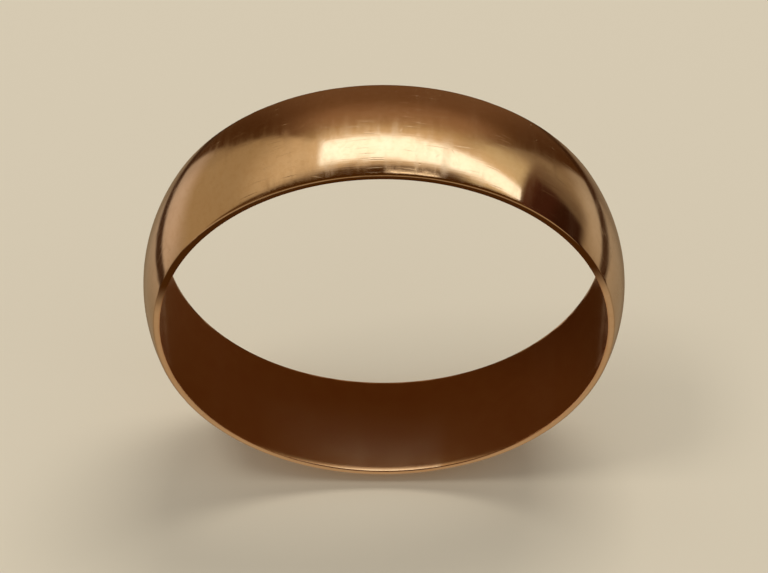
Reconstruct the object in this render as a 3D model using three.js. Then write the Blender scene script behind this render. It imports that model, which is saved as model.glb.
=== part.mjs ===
// Plain wedding band: one seamless hoop of polished gold alloy, D-shaped in section.
// The outside is a low dome, the inside is a plain cylinder, and both side faces are
// narrow flat rings with softened corners.
//
// Frame: millimetres. The origin is the centre of the hoop, the finger axis is Y, and Z is
// up, so the band stands on its rim. The side faces lie in the planes Y = +-BAND_WIDTH / 2.
import * as THREE from "three";

// Driving dimensions, mm
const INSIDE_CIRCUMFERENCE = 58.0; // the finger size: ISO 8653 size 58
const BAND_WIDTH = 5.0; // across the band, along the finger
const CROWN_THICKNESS = 0.79; // radial, at mid width
const EDGE_THICKNESS = 0.27; // radial, at the side faces before the corners are softened
const OUTER_CORNER_RADIUS = 0.15; // between the dome and a side face
const INNER_CORNER_RADIUS = 0.05; // between a side face and the finger hole

// Facets
const AROUND = 128; // a multiple of four, so that the hoop is the same size along X and Z
const DOME_STEPS = 14;
const OUTER_CORNER_STEPS = 4;
const INNER_CORNER_STEPS = 2;

// Hoop radii, from the finger axis
const HALF_WIDTH = BAND_WIDTH / 2;
const INSIDE_RADIUS = INSIDE_CIRCUMFERENCE / (2 * Math.PI);
const CROWN_RADIUS = INSIDE_RADIUS + CROWN_THICKNESS;
const EDGE_RADIUS = INSIDE_RADIUS + EDGE_THICKNESS;

// The dome is one arc from edge to edge: its rise sets its radius, and its centre lies on
// the mid plane.
const DOME_RISE = CROWN_RADIUS - EDGE_RADIUS;
const DOME_ARC_RADIUS = (HALF_WIDTH ** 2 + DOME_RISE ** 2) / (2 * DOME_RISE);
const DOME_CENTRE = CROWN_RADIUS - DOME_ARC_RADIUS;

// The outer corner is an arc tangent to the dome and to the side face, so its centre is
// one corner radius inside each. The dome ends where the two arcs touch.
const OUTER_CORNER_Y = HALF_WIDTH - OUTER_CORNER_RADIUS;
const DOME_TO_CORNER = Math.sqrt(
  (DOME_ARC_RADIUS - OUTER_CORNER_RADIUS) ** 2 - OUTER_CORNER_Y ** 2,
); // radial distance between the two arc centres
const OUTER_CORNER_CENTRE = DOME_CENTRE + DOME_TO_CORNER;
const DOME_HALF_ANGLE = Math.atan2(OUTER_CORNER_Y, DOME_TO_CORNER);

// The inner corner is a quarter round, tangent to the side face and to the finger hole.
const INNER_CORNER_Y = HALF_WIDTH - INNER_CORNER_RADIUS;
const INNER_CORNER_CENTRE = INSIDE_RADIUS + INNER_CORNER_RADIUS;

// Section points are (distance from the finger axis, y). Arc angles are counted from the
// outward radial direction towards +Y.
function arc(centre, y, radius, from, to, steps) {
  return Array.from({ length: steps + 1 }, (_, i) => {
    const angle = from + ((to - from) * i) / steps;
    return new THREE.Vector2(
      centre + radius * Math.cos(angle),
      y + radius * Math.sin(angle),
    );
  });
}

function dome() {
  return arc(DOME_CENTRE, 0, DOME_ARC_RADIUS, -DOME_HALF_ANGLE, DOME_HALF_ANGLE, DOME_STEPS);
}

// side is +1 for the corner at +Y and -1 for the corner at -Y.
function outerCorner(side, from, to) {
  const y = side * OUTER_CORNER_Y;
  return arc(OUTER_CORNER_CENTRE, y, OUTER_CORNER_RADIUS, from, to, OUTER_CORNER_STEPS);
}

function innerCorner(side, from, to) {
  const y = side * INNER_CORNER_Y;
  return arc(INNER_CORNER_CENTRE, y, INNER_CORNER_RADIUS, from, to, INNER_CORNER_STEPS);
}

// The section as a closed loop, run so that the turned faces point outwards: up the dome,
// over the +Y side face, down the finger hole and back over the -Y side face.
// The slices drop the points that the outer corners share with the dome.
function sectionLoop() {
  const quarter = Math.PI / 2;
  const loop = [
    ...dome(),
    ...outerCorner(1, DOME_HALF_ANGLE, quarter).slice(1),
    ...innerCorner(1, quarter, 2 * quarter),
    ...innerCorner(-1, -2 * quarter, -quarter),
    ...outerCorner(-1, -quarter, -DOME_HALF_ANGLE).slice(0, -1),
  ];
  return [...loop, loop[0].clone()];
}

function goldMaterial() {
  return new THREE.MeshStandardMaterial({
    name: "gold",
    color: new THREE.Color(0.83, 0.62, 0.41),
    roughness: 0.16, // polished
    metalness: 1.0,
  });
}

function makeBand() {
  const band = new THREE.Mesh(new THREE.LatheGeometry(sectionLoop(), AROUND), goldMaterial());
  band.name = "band";
  return band;
}

const weddingBand = new THREE.Group();
weddingBand.name = "wedding_band";
weddingBand.add(makeBand());

export default weddingBand;
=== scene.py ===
"""A plain worn gold band on a pale floor. It stands on its rim: its axis lies along Y, the crown
is at +Z, and the camera looks from -Y and above. Sizes are mm until they reach Blender."""

import math
from types import SimpleNamespace

import bpy
import numpy as np
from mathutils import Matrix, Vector


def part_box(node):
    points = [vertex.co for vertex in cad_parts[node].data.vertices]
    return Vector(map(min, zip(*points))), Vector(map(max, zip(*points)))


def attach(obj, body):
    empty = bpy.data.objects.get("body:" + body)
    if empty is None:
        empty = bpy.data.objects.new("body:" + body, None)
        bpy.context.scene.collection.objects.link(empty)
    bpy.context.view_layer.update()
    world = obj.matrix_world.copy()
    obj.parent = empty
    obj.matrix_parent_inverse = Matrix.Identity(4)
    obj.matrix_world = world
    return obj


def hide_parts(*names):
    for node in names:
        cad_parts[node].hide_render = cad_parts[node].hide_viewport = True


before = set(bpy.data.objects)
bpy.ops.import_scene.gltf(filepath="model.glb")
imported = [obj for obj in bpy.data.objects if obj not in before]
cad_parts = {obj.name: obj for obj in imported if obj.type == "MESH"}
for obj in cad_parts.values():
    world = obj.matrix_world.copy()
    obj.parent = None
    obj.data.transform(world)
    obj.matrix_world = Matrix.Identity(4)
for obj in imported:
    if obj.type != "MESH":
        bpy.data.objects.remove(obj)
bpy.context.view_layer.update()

MM = 0.001
TO_MM = 1000.0
FULL_TURN = 2 * math.pi
DEGREES = 180 / math.pi
RNG = np.random.default_rng(58)

# Band sizes, mm. The crown radius and the width come from the CAD piece.
LOW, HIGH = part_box("band")
CROWN = HIGH.z / MM
HALF_WIDTH = HIGH.y / MM
CROWN_THICKNESS = 0.79
EDGE_THICKNESS = 0.27  # where the dome's curve would meet the side, were the corner sharp
BORE = CROWN - CROWN_THICKNESS
EDGE = BORE + EDGE_THICKNESS
OUTER_CORNER = 0.15
INNER_CORNER = 0.05

# Mesh cells round the band, and along each part of its section
AROUND = 768
DOME_CELLS = 52
OUTER_CELLS = 9
LAND_CELLS = 2
INNER_CELLS = 4
BORE_CELLS = 22

# Colours are linear RGB
PALE = (0.715, 0.640, 0.505)  # backdrop
AMBIENT = (0.42, 0.416, 0.402)  # what diffuse rays get from the world
FLOOR_COLOUR = (0.785, 0.705, 0.560)
LAMP_COLOUR = (1.0, 0.96, 0.90)
KEY_COLOUR = (1.0, 0.965, 0.90)


def add_object(name, data=None):
    ob = bpy.data.objects.new(name, data)
    bpy.context.scene.collection.objects.link(ob)
    return ob


# ---------------------------------------------------------------------------
# The band: a dense hoop swept round Y, with the small marks that wear leaves
# ---------------------------------------------------------------------------
def harmonics(theta, orders):
    """A smooth random function of the angle that closes on itself, about -1 to 1."""
    out = np.zeros_like(theta)
    for k in orders:
        out += RNG.normal() * np.cos(k * theta + RNG.uniform(0, FULL_TURN))
    return out / math.sqrt(len(orders))


def arc(centre_r, centre_y, radius, start, end, cells):
    """Points and normals (r, y, normal r, normal y) of an arc, each (angles, cells)."""
    t = np.linspace(0, 1, cells + 1)[:-1]
    a = start[:, None] + (end - start)[:, None] * t[None, :]
    return (
        centre_r[:, None] + radius[:, None] * np.cos(a),
        centre_y[:, None] + radius[:, None] * np.sin(a),
        np.cos(a),
        np.sin(a),
    )


def line(start, end, normal, cells):
    """The same for a straight run between two (r, y) ends."""
    t = np.linspace(0, 1, cells + 1)[:-1][None, :]
    r, y = (a[:, None] + (b - a)[:, None] * t for a, b in zip(start, end))
    return r, y, np.full_like(r, normal[0]), np.full_like(y, normal[1])


def worn_corners(theta, dome_radius, dome_centre):
    """Corner radii of one side, rounder in some places, and where the outer arc is centred."""
    outer = OUTER_CORNER * np.clip(1 + 0.16 * harmonics(theta, range(2, 12)), 0.75, 1.45)
    inner = INNER_CORNER * np.clip(1 + 0.2 * harmonics(theta, range(2, 9)), 0.6, 1.5)
    y = HALF_WIDTH - outer
    r = dome_centre + np.sqrt((dome_radius - outer) ** 2 - y**2)
    angle = np.arctan2(y, r - dome_centre)  # where the dome hands over to the corner
    return SimpleNamespace(outer=outer, inner=inner, y=y, r=r, angle=angle)


def band_section():
    """Section loops at every angle: r, y, normal r, normal y and distance along, each
    (angles, points), with the angles and each loop's length."""
    theta = np.arange(AROUND) * 2 * math.pi / AROUND
    one = np.ones(AROUND)
    rise = CROWN - EDGE
    dome_radius = (HALF_WIDTH**2 + rise**2) / (2 * rise)
    dome_centre = CROWN - dome_radius
    back = worn_corners(theta, dome_radius, dome_centre)
    front = worn_corners(theta, dome_radius, dome_centre)
    side = HALF_WIDTH * one
    bore = BORE * one
    back_inner = (BORE + back.inner, HALF_WIDTH - back.inner)
    front_inner = (BORE + front.inner, front.inner - HALF_WIDTH)
    q = math.pi / 2 * one
    # inner corner arcs are centred in the metal; the normal turns between side and bore
    parts = [
        arc(dome_centre * one, 0 * one, dome_radius * one, -front.angle, back.angle, DOME_CELLS),
        arc(back.r, back.y, back.outer, back.angle, q, OUTER_CELLS),
        line((back.r, side), (back_inner[0], side), (0, 1), LAND_CELLS),
        arc(*back_inner, back.inner, q, 2 * q, INNER_CELLS),
        line((bore, back_inner[1]), (bore, front_inner[1]), (-1, 0), BORE_CELLS),
        arc(*front_inner, front.inner, -2 * q, -q, INNER_CELLS),
        line((front_inner[0], -side), (front.r, -side), (0, -1), LAND_CELLS),
        arc(front.r, -front.y, front.outer, -q, -front.angle, OUTER_CELLS),
    ]
    r, y, normal_r, normal_y = (np.concatenate(columns, 1) for columns in zip(*parts))
    step = np.hypot(np.roll(r, -1, 1) - r, np.roll(y, -1, 1) - y)
    along = np.cumsum(step, 1) - step
    return theta, r, y, normal_r, normal_y, along, step.sum(1)


def wear(theta, r, y, normal_r):
    """How far each point stands below the new surface, mm, and a mask of the bruised places."""
    depth = np.zeros_like(r)
    bruise = np.zeros_like(r)
    # hand polishing leaves the outside a little wavy: (orders round, waves across, depth)
    outside = normal_r > 0.2
    for orders, across, size in ((range(5, 15), 0.5, 0.0018), (range(16, 34), 1.1, 0.0007)):
        for _ in range(3):
            phase = RNG.uniform(0, FULL_TURN)
            wave = harmonics(theta, orders)[:, None] * np.cos(across * y + phase)
            depth += size * (0.5 + 0.5 * wave / 1.6) * outside
    bore_wave = harmonics(theta, range(4, 16))[:, None]
    depth += 0.0007 * (0.5 + 0.5 * bore_wave) * (normal_r < -0.8)

    def mark(at, offset, face, length, width, turn, deep):
        """Press a turned Gaussian hollow into a face, at an angle round and an offset in y."""
        away = (theta - at + math.pi) % (2 * math.pi) - math.pi
        rows = np.nonzero(np.abs(away) < (4 * max(length, width) + 0.2) / CROWN)[0]
        du = away[rows][:, None] * CROWN
        dv = y[rows] - offset
        c, s = math.cos(turn), math.sin(turn)
        p, q = (du * c + dv * s) / length, (dv * c - du * s) / width
        hollow = np.exp(-0.5 * (p * p + q * q)) * face[rows]
        depth[rows] += deep * hollow
        bruise[rows] = np.maximum(bruise[rows], hollow * min(1.0, deep / 0.006))

    dome = np.clip((normal_r - 0.3) / 0.3, 0, 1)
    bore = np.clip((-normal_r - 0.6) / 0.3, 0, 1)
    rim = np.where(normal_r > -0.3, 1.0, 0.0)
    draw = RNG.uniform
    # shallow dents on the dome
    for _ in range(70):
        size = draw(0.16, 0.55)
        mark(at=draw(0, FULL_TURN), offset=draw(-2.05, 2.05), face=dome,
             length=size, width=size * draw(0.45, 1.0),
             turn=draw(0, math.pi), deep=draw(0.0006, 0.0028) * (size / 0.35))
    # long faint gouges
    for _ in range(26):
        mark(at=draw(0, FULL_TURN), offset=draw(-2.2, 2.2), face=dome,
             length=draw(0.5, 1.6), width=draw(0.09, 0.13),
             turn=RNG.normal(0, 0.5), deep=draw(0.0005, 0.0016))
    # knocks on both rims
    for _ in range(96):
        side = RNG.choice([-1.0, 1.0])
        mark(at=draw(0, FULL_TURN), offset=side * draw(2.34, 2.5), face=rim,
             length=draw(0.08, 0.20), width=draw(0.04, 0.09),
             turn=RNG.normal(0, 0.3), deep=draw(0.0015, 0.0055))
    # a few marks in the finger hole
    for _ in range(22):
        mark(at=draw(0, FULL_TURN), offset=draw(-2.2, 2.2), face=bore,
             length=draw(0.2, 0.9), width=draw(0.1, 0.2),
             turn=RNG.normal(0, 0.6), deep=draw(0.0005, 0.002))
    return depth, bruise


def make_band():
    theta, r, y, normal_r, normal_y, along, loop_length = band_section()
    depth, bruise = wear(theta, r, y, normal_r)
    r = r - normal_r * depth
    y = y - normal_y * depth
    n, k = r.shape
    x = r * np.sin(theta)[:, None]
    z = r * np.cos(theta)[:, None]
    co = np.stack([x, y, z], -1).reshape(-1, 3) * MM

    # quads in this order face out of the metal
    i = np.arange(n)[:, None]
    j = np.arange(k)[None, :]
    i2, j2 = (i + 1) % n, (j + 1) % k
    quads = np.stack([i * k + j, i2 * k + j, i2 * k + j2, i * k + j2], -1).reshape(-1, 4)

    # UVs in mm: u round the crown, v along the section as it was before wear
    around = 2 * math.pi * CROWN / n
    u0 = np.broadcast_to(i * around, (n, k))
    u1 = u0 + around
    v0 = along
    v1 = np.concatenate([along[:, 1:], loop_length[:, None]], 1)
    corners = [(u0, v0), (u1, np.roll(v0, -1, 0)), (u1, np.roll(v1, -1, 0)), (u0, v1)]
    uv = np.stack([np.stack(corner, -1) for corner in corners], 2)

    me = bpy.data.meshes.new("band_worn")
    me.vertices.add(len(co))
    me.vertices.foreach_set("co", co.astype(np.float32).ravel())
    me.loops.add(quads.size)
    me.loops.foreach_set("vertex_index", quads.astype(np.int32).ravel())
    me.polygons.add(len(quads))
    me.polygons.foreach_set("loop_start", (np.arange(len(quads)) * 4).astype(np.int32))
    me.polygons.foreach_set("loop_total", np.full(len(quads), 4, np.int32))
    me.update(calc_edges=True)
    me.validate()
    me.polygons.foreach_set("use_smooth", np.ones(len(me.polygons), bool))
    layer = me.uv_layers.new(name="wrap")
    layer.data.foreach_set("uv", uv.astype(np.float32).reshape(-1))
    mask = me.attributes.new("bruise", "FLOAT", "POINT")
    mask.data.foreach_set("value", bruise.astype(np.float32).ravel())
    return add_object("band_worn", me)


# ---------------------------------------------------------------------------
# Shader nodes written as arithmetic
# ---------------------------------------------------------------------------
class Value:
    """An output socket. Each operator used on it adds one Math node."""

    def __init__(self, nodes, socket):
        self.nodes, self.socket = nodes, socket

    def __add__(self, other):
        return self.nodes.math("ADD", self, other)

    def __sub__(self, other):
        return self.nodes.math("SUBTRACT", self, other)

    def __rsub__(self, other):
        return self.nodes.math("SUBTRACT", other, self)

    def __mul__(self, other):
        return self.nodes.math("MULTIPLY", self, other)

    def __truediv__(self, other):
        return self.nodes.math("DIVIDE", self, other)

    def __abs__(self):
        return self.nodes.math("ABSOLUTE", self)

    def inverse(self, amount):
        """1 where this is 0, and 1 - amount where it is 1."""
        return self.nodes.math("MULTIPLY_ADD", self, -amount, 1.0)

    def ramp(self, over, to=(0.0, 1.0), smooth=True):
        """Goes between the two levels of "to" as this goes between the two ends of "over"."""
        kind = "SMOOTHSTEP" if smooth else "LINEAR"
        inputs = dict(enumerate((self, *over, *to)))
        return self.nodes.value(
            "ShaderNodeMapRange", inputs, interpolation_type=kind, clamp=True
        )


class Nodes:
    """Adds nodes to a tree. Inputs are given by their index or name."""

    def __init__(self, tree):
        self.tree = tree

    def node(self, kind, inputs=None, **props):
        node = self.tree.nodes.new(kind)
        for key, value in props.items():
            setattr(node, key, value)
        for key, value in (inputs or {}).items():
            self.put(node.inputs[key], value)
        return node

    def value(self, kind, inputs=None, output=0, **props):
        return Value(self, self.node(kind, inputs, **props).outputs[output])

    def put(self, socket, value):
        if isinstance(value, Value):
            value = value.socket
        if isinstance(value, bpy.types.NodeSocket):
            self.tree.links.new(value, socket)
        else:
            socket.default_value = (*value, 1.0) if socket.type == "RGBA" else value

    def math(self, operation, *values):
        return self.value("ShaderNodeMath", dict(enumerate(values)), operation=operation)

    def vector(self, operation, inputs, output=0):
        return self.value("ShaderNodeVectorMath", inputs, output, operation=operation)

    def scale(self, vector, factor):
        return self.vector("SCALE", {0: vector, "Scale": factor})

    def length(self, vector):
        return self.vector("LENGTH", {0: vector}, output="Value")

    def xyz(self, x, y, z):
        return self.value("ShaderNodeCombineXYZ", {0: x, 1: y, 2: z})

    def split(self, vector):
        node = self.node("ShaderNodeSeparateXYZ", {0: vector})
        return [Value(self, output) for output in node.outputs]

    def mix(self, share, first, second):
        """The first colour, giving way to the second as share goes from 0 to 1."""
        inputs = {0: share, 6: first, 7: second}
        return self.value("ShaderNodeMix", inputs, output=2, data_type="RGBA")

    def mix_shader(self, share, first, second):
        return self.value("ShaderNodeMixShader", {0: share, 1: first, 2: second})

    def noise(self, vector, scale, detail, rough):
        inputs = {"Vector": vector, "Scale": scale, "Detail": detail, "Roughness": rough}
        return self.value("ShaderNodeTexNoise", inputs)

    def cells(self, vector, scale, dimensions):
        """The distance to the nearest random point, and a random number for that point."""
        inputs = {"Vector": vector, "Scale": scale}
        node = self.node("ShaderNodeTexVoronoi", inputs, voronoi_dimensions=dimensions)
        return Value(self, node.outputs["Distance"]), self.split(node.outputs["Color"])[0]


def fresh_nodes(owner):
    """An emptied node tree for a material or a world."""
    owner.use_nodes = True
    owner.node_tree.nodes.clear()
    return Nodes(owner.node_tree)


# ---------------------------------------------------------------------------
# Gold: polished long ago, worn since
# ---------------------------------------------------------------------------
SCRATCH_BEND = 0.5  # full sideways swing of a hairline, mm
SCRATCHES = [
    # angle, length and spacing of the cells in mm, half width in cells, share left out, seed
    (1.2, 5.5, 0.22, 0.13, 0.35, 1.0),
    (-1.8, 3.6, 0.18, 0.13, 0.45, 2.0),
    (9.0, 7.0, 0.46, 0.070, 0.60, 3.0),
    (-15.0, 6.0, 0.52, 0.062, 0.60, 4.0),
    (41.0, 5.0, 0.85, 0.038, 0.62, 5.0),
    (-58.0, 4.4, 0.95, 0.035, 0.64, 6.0),
    (86.0, 3.6, 1.10, 0.031, 0.66, 7.0),
]


def hairlines(n, u, v, angle, length, spacing, width, left_out, seed):
    """Single hairlines: long thin ellipses, each round one random point."""
    c, s = math.cos(math.radians(angle)), math.sin(math.radians(angle))
    bend = n.noise(n.xyz(u, v, seed * 3.7), scale=0.35, detail=1.0, rough=0.5)
    bend = (bend - 0.5) * SCRATCH_BEND
    along = u * c + v * s
    across = v * c + u * -s + bend
    place = n.xyz(along / length + seed * 11.3, across / spacing + seed * 5.1, 0.0)
    distance, pick = n.cells(place, scale=1.0, dimensions="2D")
    shown = pick.ramp(over=(left_out, min(left_out + 0.35, 1.0)))
    return distance.ramp(over=(width, 0.0)) * shown


def gold_colour(n, mm, patchy, inside, pit, scratch):
    """A warm alloy, a little redder and darker inside the finger hole: painted shade there."""
    speckle = n.noise(mm, scale=3.6, detail=4.0, rough=0.65)
    small = n.noise(mm, scale=1.7, detail=3.0, rough=0.6)
    base = n.mix(patchy.ramp(over=(0.35, 0.68)), (0.865, 0.600, 0.385), (0.885, 0.640, 0.430))
    layers = [
        (speckle.ramp(over=(0.42, 0.72), to=(0.0, 0.55)), (0.800, 0.545, 0.330)),
        # painted shade: redder and darker inside the finger hole
        (inside * small.ramp(over=(0.3, 0.75), to=(0.35, 0.85)), (0.780, 0.470, 0.265)),
        (pit * 0.55, (0.42, 0.22, 0.10)),
        (scratch * 0.12, (0.95, 0.74, 0.52)),
    ]
    for share, colour in layers:
        base = n.mix(share, base, colour)
    return base


def gold_material():
    mat = bpy.data.materials.new("gold_worn")
    n = fresh_nodes(mat)
    mm = n.scale(n.value("ShaderNodeTexCoord", output="Object"), TO_MM)
    px, py, pz = n.split(mm)
    radius = n.length(n.xyz(px, 0.0, pz))
    cx, cz = px / radius, pz / radius
    u, v, _ = n.split(n.value("ShaderNodeUVMap", uv_map="wrap"))
    inside = radius.ramp(over=(BORE + 0.12, BORE + 0.03))

    def grain(around, across, detail, rough):
        """Noise with its own scale round the band and across it."""
        place = n.xyz(cx * around, cz * around, v * across)
        return n.noise(place, scale=1.0, detail=detail, rough=rough)

    # fine lines from the buff, running round the band
    fine = grain(around=5.0, across=13.0, detail=4.0, rough=0.62)
    broad = grain(around=2.5, across=3.1, detail=2.0, rough=0.5)
    patchy = n.noise(mm, scale=0.32, detail=3.0, rough=0.55)

    scratch, *others = [hairlines(n, u, v, *row) for row in SCRATCHES]
    for other in others:
        scratch = n.math("MAXIMUM", scratch, other)
    scratch = scratch * inside.inverse(0.80)

    # pin-prick pits
    distance, pick = n.cells(mm, scale=2.1, dimensions="3D")
    pit = distance.ramp(over=(0.085, 0.02)) * pick.ramp(over=(0.74, 0.97))
    bruise = n.value("ShaderNodeAttribute", output="Fac", attribute_name="bruise")

    # worn columns across the band, where the metal is hazier along its width
    column = grain(around=9.0, across=0.16, detail=3.0, rough=0.6)
    narrow = grain(around=34.0, across=0.30, detail=2.0, rough=0.6)
    worn = (0.38, 0.66)
    haze = column.ramp(over=worn) * narrow.ramp(over=worn, to=(0.15, 1.0))
    haze = haze * inside.inverse(0.85)
    # and a few short ones near the top of the band, each of its own length
    reach = py + (column - 0.5) * 3.2
    short = abs(cx + 0.07).ramp(over=(0.26, 0.12)) * cz.ramp(over=(0.2, 0.6))
    short = short * (reach.ramp(over=(-1.05, -0.45)) * reach.ramp(over=(0.6, -0.3)))
    short = short * narrow.ramp(over=worn) * (1.0 - inside)

    # each kind of wear times the roughness it adds
    rough = patchy.ramp(over=(0.3, 0.7), to=(0.068, 0.092), smooth=False)
    rough = rough + (fine - 0.5) * 0.05 + haze * 0.09 + short * 0.06
    rough = rough + scratch * 0.15 + bruise * 0.03 + inside * 0.05
    rough = n.math("MAXIMUM", rough, 0.05)

    # heights in mm
    height = (fine - 0.5) * 0.0007 + (broad - 0.5) * 0.0014 - scratch * 0.0011 - pit * 0.0010
    bump = n.value("ShaderNodeBump", {"Strength": 1.0, "Distance": MM, "Height": height})
    bsdf = n.value("ShaderNodeBsdfPrincipled", {
        "Base Color": gold_colour(n, mm, patchy, inside, pit, scratch),
        "Metallic": 1.0,
        "Roughness": rough,
        "Anisotropic": 0.85,
        "Anisotropic Rotation": 0.25,
        "Tangent": n.value("ShaderNodeTangent", direction_type="UV_MAP", uv_map="wrap"),
        "Normal": bump,
    })
    n.node("ShaderNodeOutputMaterial", {0: bsdf})
    return mat


# ---------------------------------------------------------------------------
# The studio as a mirror sees it. x and y are the direction's place on a sky chart: the zenith
# is 0, 0, a point's distance from it is its angle from the zenith in degrees, y is away from
# the camera and x is to its right. Later parts are painted over earlier ones.
# ---------------------------------------------------------------------------
def studio_sides(n, x, y, zenith, elevation):
    """The side walls and the camera's side, and a glow off the lamp's far right corner."""
    # cream walls, light by the lamp; the right one is dimmer
    side = n.mix(zenith.ramp(over=(72.0, 40.0)), (0.355, 0.265, 0.145), (0.66, 0.53, 0.335))
    side = n.mix(x.ramp(over=(10.0, 48.0)), side, (0.250, 0.186, 0.108))
    shoulder = x.ramp(over=(28.0, 42.0)) * (
        x.ramp(over=(62.0, 57.0)) * y.ramp(over=(51.0, 32.0))
    )
    # the camera's side: a dim room, lit from the floor at eye level
    front = n.mix(elevation.ramp(over=(2.0, 46.0)), (0.118, 0.060, 0.018), (0.058, 0.022, 0.004))
    front = n.mix(elevation.ramp(over=(15.0, 0.0)), front, (0.37, 0.280, 0.170))
    fore = y.ramp(over=(7.0, zenith.ramp(over=(60.0, 100.0), to=(2.0, -10.0))))
    colour = n.mix(fore, side, front)
    colour = n.mix(shoulder * y.ramp(over=(-4.0, 4.0)), colour, (0.60, 0.51, 0.31))
    return colour, shoulder


def studio_back(n, colour, x, y, zenith, shoulder, down):
    """The dark back wall, warmer and lighter towards its top and darker at its ends. Also
    gives the wall's mask and the degrees outside its side edge."""
    wall = n.mix(y.ramp(over=(70.0, 46.0)), (0.152, 0.078, 0.035), (0.305, 0.184, 0.096))
    wall = n.mix(y.ramp(over=(48.0, 32.0)), wall, (0.49, 0.370, 0.195))
    wall = n.mix(abs(x - 6.0).ramp(over=(22.0, 54.0)), wall, (0.066, 0.027, 0.008))
    half_width = y.ramp(over=(36.0, 66.0), to=(35.0, 60.5), smooth=False)
    half_width = half_width + y.ramp(over=(60.0, 84.0), to=(0.0, 2.5))
    off = abs(x - 4.5) - half_width
    back = off.ramp(over=(2.5, -2.5)) * y.ramp(over=(30.0, 36.0))
    back = back * (down * zenith.ramp(over=(132.0, 112.0), to=(0.55, 1.0)))
    back = back * shoulder.inverse(0.8)
    return n.mix(back, colour, wall), back, off


def studio_floor(n, colour, x, y, dy, elevation, back, off, down):
    """Cream, darker steeply below towards the back, dimmer straight to the sides and by the wall:
    painted shade in the floor as the metal sees it.
    """
    near = n.mix(dy.ramp(over=(0.10, -0.60)), (0.290, 0.228, 0.146), (0.43, 0.335, 0.220))
    floor = n.mix(x.ramp(over=(-70.0, 70.0)), (0.545, 0.445, 0.345), (0.435, 0.370, 0.270))
    floor = n.mix(elevation.ramp(over=(-17.0, -46.0)), floor, near)
    dim = y.ramp(over=(56.0, 8.0)) * y.ramp(over=(-52.0, -8.0), to=(0.0, 0.85))
    floor = n.mix(dim * down, floor, (0.270, 0.205, 0.125))
    low = elevation.ramp(over=(-3.0, -17.0)) * (1.0 - back)
    colour = n.mix(low, colour, floor)
    shade = off.ramp(over=(17.0, 1.0)) * (
        off.ramp(over=(-2.5, 2.5)) * y.ramp(over=(48.0, 66.0), to=(0.0, 0.42))
    )
    return n.mix(shade * down, colour, (0.205, 0.145, 0.082))


def studio_shadow_line(n, colour, x, azimuth, elevation, strength):
    """A painted shadow line: a thin dark line across the floor at the sides, as the metal sees it.
    """
    depression = x.ramp(over=(-30.0, 30.0), to=(29.3, 25.8))
    shadow_line = abs(elevation + depression).ramp(over=(4.6, 2.0))
    shadow_line = shadow_line * abs(azimuth).ramp(over=(128.0, 84.0)) * strength
    return n.mix(shadow_line * 0.97, colour, (0.040, 0.015, 0.004))


def studio_gap(n, colour, x, y):
    """The dark gap to the right of the lamp, darker further right."""
    slanted = n.math("MULTIPLY_ADD", y, 0.25, x)
    gap = x.ramp(over=(59.6, 62.8)) * slanted.ramp(over=(105.0, 97.0))
    faint = y.ramp(over=(60.0, 40.0), to=(0.0, 0.50))
    tall = n.math("MAXIMUM", y.ramp(over=(43.0, 31.0)), faint)
    gap = gap * (tall * y.ramp(over=(-52.0, -34.0)))
    ink = n.mix(x.ramp(over=(62.5, 69.0)), (0.078, 0.030, 0.016), (0.048, 0.016, 0.008))
    ink = n.mix(x.ramp(over=(73.0, 81.0)), ink, (0.030, 0.010, 0.004))
    return n.mix(gap, colour, ink)


def studio_lamps(n, colour, dx, dy, dz):
    """Rectangles overhead, placed where the ray meets the plane one unit up."""
    up = n.math("MAXIMUM", dz, 0.02)
    above = dz.ramp(over=(0.05, 0.12))
    # the main lamp's own axes: its centre, then its turn
    px = dx / up - 0.58
    py = dy / up - 0.36
    turn = math.radians(-2.2)
    lx = px * math.cos(turn) + py * math.sin(turn)
    ly = py * math.cos(turn) - px * math.sin(turn)
    # a glow on the ceiling behind it and to its left
    glow = ly.ramp(over=(0.52, 0.20)) * ly.ramp(over=(-0.30, -0.20))
    glow = glow * (lx.ramp(over=(-1.30, -1.00)) * lx.ramp(over=(1.15, 0.95)))
    colour = n.mix(glow * above * 0.42, colour, (0.86, 0.66, 0.40))
    # the lamp, its long edges a little bent
    far_edge = ly + lx.ramp(over=(-0.45, 0.10), to=(0.0, 0.044))
    near_edge = ly - lx.ramp(over=(-0.10, 0.60), to=(0.012, 0.030))
    lamp = lx.ramp(over=(-1.13, -1.07)) * lx.ramp(over=(1.255, 1.195))
    lamp = lamp * (near_edge.ramp(over=(-0.245, -0.215)) * far_edge.ramp(over=(0.215, 0.140)))
    body = n.mix(ly.ramp(over=(-0.05, 0.25)), (1.50, 1.60, 1.56), (1.42, 1.47, 1.36))
    body = n.mix(lx.ramp(over=(0.1, -1.05)), body, (1.48, 1.58, 1.52))
    colour = n.mix(lamp * above, colour, body)
    # a narrow second lamp just on the camera's side of it
    sx = dx / up
    sy = dy / up
    glint = (sx.ramp(over=(-0.02, 0.06)) * sx.ramp(over=(0.48, 0.38))) * (
        sy.ramp(over=(-0.110, -0.080)) * sy.ramp(over=(0.000, -0.025))
    )
    return n.mix(glint * above, colour, (1.40, 1.28, 1.02))


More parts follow.
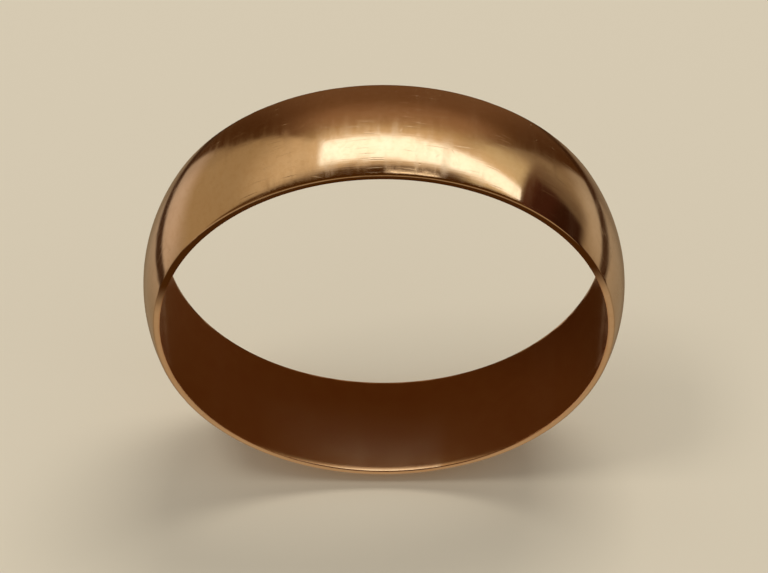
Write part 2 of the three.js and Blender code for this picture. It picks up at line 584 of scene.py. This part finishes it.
def studio_group():
    group = bpy.data.node_groups.new("studio", "ShaderNodeTree")
    for name, way, kind in (
        ("Direction", "INPUT", "Vector"), ("Seam", "INPUT", "Float"), ("Color", "OUTPUT", "Color"),
    ):
        group.interface.new_socket(name, in_out=way, socket_type="NodeSocket" + kind)
    n = Nodes(group)
    given = n.node("NodeGroupInput").outputs
    dx, dy, dz = n.split(n.vector("NORMALIZE", {0: given[0]}))
    limited = n.math("MINIMUM", n.math("MAXIMUM", dz, -0.99999), 0.99999)
    zenith = n.math("ARCCOSINE", limited) * DEGREES
    flat = n.math("MAXIMUM", n.math("SQRT", dx * dx + dy * dy), 1e-4)
    x = zenith * (dx / flat)
    y = zenith * (dy / flat)
    elevation = 90.0 - zenith
    azimuth = n.math("ARCTAN2", dx, dy) * DEGREES  # 0 behind the object, 90 right
    # the chart folds up straight below, so what is drawn on it fades out there
    down = elevation.ramp(over=(-80.0, -56.0))

    colour, shoulder = studio_sides(n, x, y, zenith, elevation)
    colour, back, off = studio_back(n, colour, x, y, zenith, shoulder, down)
    colour = studio_floor(n, colour, x, y, dy, elevation, back, off, down)
    colour = studio_shadow_line(n, colour, x, azimuth, elevation, strength=given[1])
    colour = studio_gap(n, colour, x, y)
    colour = studio_lamps(n, colour, dx, dy, dz)
    n.node("NodeGroupOutput", {0: colour})
    return group


def build_world(group, rig):
    world = bpy.data.worlds.new("studio")
    bpy.context.scene.world = world
    n = fresh_nodes(world)
    path = n.node("ShaderNodeLightPath").outputs
    direction = n.value("ShaderNodeTexCoord", output="Object", object=rig)
    studio = n.value("ShaderNodeGroup", {0: direction}, node_tree=group)
    colour = n.mix(path["Is Glossy Ray"], AMBIENT, studio)
    colour = n.mix(path["Is Camera Ray"], colour, PALE)
    n.node("ShaderNodeOutputWorld", {0: n.value("ShaderNodeBackground", {0: colour})})
    # the metal finds the studio by its own reflections, so that the flags can shade it
    world.cycles.sampling_method = "NONE"


# ---------------------------------------------------------------------------
# Floor
# ---------------------------------------------------------------------------
def floor_material(group, rig):
    mat = bpy.data.materials.new("floor_pale")
    n = fresh_nodes(mat)
    path = n.node("ShaderNodeLightPath").outputs
    geometry = n.node("ShaderNodeNewGeometry").outputs
    # pale and diffuse, melting into the backdrop far out (metres)
    diffuse = n.value("ShaderNodeBsdfDiffuse", {0: FLOOR_COLOUR})
    far = n.value("ShaderNodeEmission", {0: PALE})
    distance = n.length(geometry["Position"])
    seen = n.mix_shader(distance.ramp(over=(0.07, 0.42)), diffuse, far)

    # cosine and sine of the turn from the world to the rig, from one point in both
    here = n.scale(geometry["Position"], TO_MM)
    wx, wy, _ = n.split(here)
    in_rig = n.value("ShaderNodeTexCoord", output="Object", object=rig)
    qx, qy, _ = n.split(n.scale(in_rig, TO_MM))
    square = n.math("MAXIMUM", wx * wx + wy * wy, 1e-3)
    c = (wx * qx + wy * qy) / square
    s = (wx * qy - wy * qx) / square

    def turned(vector):
        x, y, z = n.split(vector)
        return x * c - y * s, x * s + y * c, z

    # r is the ray's direction, b the place where it left the metal, in mm
    rx, ry, rz = turned(n.scale(geometry["Incoming"], -1.0))
    travelled = n.math("MULTIPLY", path["Ray Length"], TO_MM)
    gone = n.scale(geometry["Incoming"], travelled)
    bx, by, bz = turned(n.vector("ADD", {0: here, 1: gone}))

    # in the metal, the floor is a painted reflection: an emission that continues the studio's own
    # shading, and the upper part of the near rim sees a painted dark reflection in front of the
    # band
    # the painted shadow line is full where the ray left the metal within 2.7 mm of the band's
    # middle
    inputs = {0: n.xyz(rx, ry, rz), 1: abs(by).ramp(over=(4.2, 2.7))}
    studio = n.value("ShaderNodeGroup", inputs, node_tree=group)
    level = bz + n.math("MAXIMUM", bx * -0.28, bx * 0.15)
    ahead = level.ramp(over=(3.6, 5.4)) * (
        rz.ramp(over=(-0.10, -0.22)) * ry.ramp(over=(0.02, -0.16))
    )
    reflected = n.mix(ahead, studio, (0.060, 0.024, 0.005))
    in_metal = n.value("ShaderNodeEmission", {0: reflected})
    final = n.mix_shader(path["Is Glossy Ray"], seen, in_metal)
    n.node("ShaderNodeOutputMaterial", {0: final})
    return mat


def build_floor(group, rig):
    """A disc of rings, finer towards the middle."""
    radii, spokes = [0.02, 0.05, 0.12, 0.3, 0.8, 2.5, 8.0], 96
    angles = [2 * math.pi * i / spokes for i in range(spokes)]
    verts = [(0.0, 0.0, 0.0)]
    verts += [(r * math.cos(a), r * math.sin(a), 0.0) for r in radii for a in angles]
    faces = [(0, 1 + i, 1 + (i + 1) % spokes) for i in range(spokes)]
    for k in range(len(radii) - 1):
        a, b = 1 + k * spokes, 1 + (k + 1) * spokes
        for i in range(spokes):
            j = (i + 1) % spokes
            faces.append((a + i, b + i, b + j, a + j))
    me = bpy.data.meshes.new("floor")
    me.from_pydata(verts, [], faces)
    me.update()
    ob = add_object("floor", me)
    ob.location = (0, 0, LOW.z - 0.00002)  # a hair below the band
    me.materials.append(floor_material(group, rig))


# ---------------------------------------------------------------------------
# Flags: painted shade in the finger hole. Dark emitting sheets stand for the dark slit a band is
# kept in. Each is part of a disc over one mouth of the finger hole that only the metal sees, and
# only along rays on their way out of the hole.
# ---------------------------------------------------------------------------
def flag_material(name, side):
    mat = bpy.data.materials.new(name)
    n = fresh_nodes(mat)
    geometry = n.node("ShaderNodeNewGeometry").outputs
    _, incoming_y, _ = n.split(geometry["Incoming"])
    px, _, pz = n.split(n.scale(geometry["Position"], TO_MM))
    # Incoming points back along the ray, so a ray leaving by +y has a negative y here
    leaving = n.math("GREATER_THAN", incoming_y * -side, 0.0)
    solid = leaving * pz.ramp(over=(-0.6, -3.0))
    # the painted shade is a little lighter higher up, darker to the right
    shade_tone = n.mix(pz.ramp(over=(-8.5, -3.0)), (0.072, 0.026, 0.006), (0.085, 0.034, 0.011))
    shade_tone = n.mix(px.ramp(over=(2.5, 8.0)), shade_tone, (0.050, 0.017, 0.004))
    dark = n.value("ShaderNodeEmission", {0: shade_tone})
    clear = n.value("ShaderNodeBsdfTransparent")
    n.node("ShaderNodeOutputMaterial", {0: n.mix_shader(solid, clear, dark)})
    return mat


def hole_flag(name, side):
    """A sheet of painted shade: the lower half of the disc, at the +y mouth for side 1 and the -y
    mouth for -1.
    """
    spokes, levels = 48, 12
    radius = (BORE - 0.02) * MM
    top = -0.3 * MM
    plane = side * (HALF_WIDTH - 0.03) * MM
    verts, faces = [], []
    for k in range(levels + 1):
        z = -radius + (top + radius) * (1 - math.cos(k / levels * math.pi / 2))
        if k == 0:
            z = -radius * 0.9999  # keeps the lowest row from closing to a point
        half = math.sqrt(max(radius * radius - z * z, 0.0))
        verts += [(half * (2 * i / spokes - 1), plane, z) for i in range(spokes + 1)]
    m = spokes + 1
    for k in range(levels):
        for i in range(spokes):
            quad = (k * m + i, k * m + i + 1, (k + 1) * m + i + 1, (k + 1) * m + i)
            faces.append(quad if side < 0 else quad[::-1])
    me = bpy.data.meshes.new(name)
    me.from_pydata(verts, [], faces)
    me.update()
    ob = add_object(name, me)
    me.materials.append(flag_material(name, side))
    for kind in ("camera", "diffuse", "transmission", "volume_scatter", "shadow"):
        setattr(ob, "visible_" + kind, False)


# ---------------------------------------------------------------------------
# Camera and lamps
# ---------------------------------------------------------------------------
def add_camera():
    data = bpy.data.cameras.new("camera")
    data.sensor_width = 36.0
    data.lens = 181.0
    data.clip_start, data.clip_end = 0.01, 20.0
    cam = add_object("camera", data)
    cam.location = Vector((0.2, -106.1, 121.0)) * MM
    cam.rotation_mode = "QUATERNION"
    cam.rotation_quaternion = (Vector((0, 0, 0)) - cam.location).to_track_quat("-Z", "Y")
    bpy.context.scene.camera = cam
    return cam


def add_rig(cam):
    """Lamps and room keep their place round the camera as it goes round the object."""
    rig = add_object("rig")
    follow = rig.constraints.new("LOCKED_TRACK")
    follow.target = cam
    follow.track_axis = "TRACK_NEGATIVE_Y"
    follow.lock_axis = "LOCK_Z"
    return rig


def softbox(name, rig, centre, size, radiance, colour, turn=0.0):
    """A flat lamp facing straight down, for the floor: the metal sees the studio's own lamps.
    Sizes in metres, turn in degrees."""
    lamp = bpy.data.lights.new(name, "AREA")
    lamp.shape = "RECTANGLE"
    lamp.size, lamp.size_y = size
    lamp.energy = radiance * math.pi * size[0] * size[1]
    lamp.color = colour
    ob = add_object(name, lamp)
    ob.parent = rig
    ob.location = centre
    ob.rotation_euler = (0, 0, math.radians(turn))
    ob.visible_camera = False
    ob.visible_glossy = False


# ---------------------------------------------------------------------------
# Build
# ---------------------------------------------------------------------------
band = make_band()
band.data.materials.append(gold_material())
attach(band, "root")
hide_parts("band")

view = bpy.context.scene.view_settings
view.view_transform = "Standard"
view.look = "None"

rig = add_rig(add_camera())
studio = studio_group()
build_world(studio, rig)
build_floor(studio, rig)
hole_flag("flag_back", 1.0)
hole_flag("flag_front", -1.0)

H = 0.5  # height of the key lamp, which its place and size are shares of
softbox("key", rig, centre=(0.22 * H, 0.42 * H, H), size=(0.62 * H, 0.40 * H),
        radiance=6.0, colour=KEY_COLOUR, turn=-2.6)
softbox("fill", rig, centre=(-0.17, -0.06, 0.42), size=(0.11, 0.11),
        radiance=8.7, colour=LAMP_COLOUR)
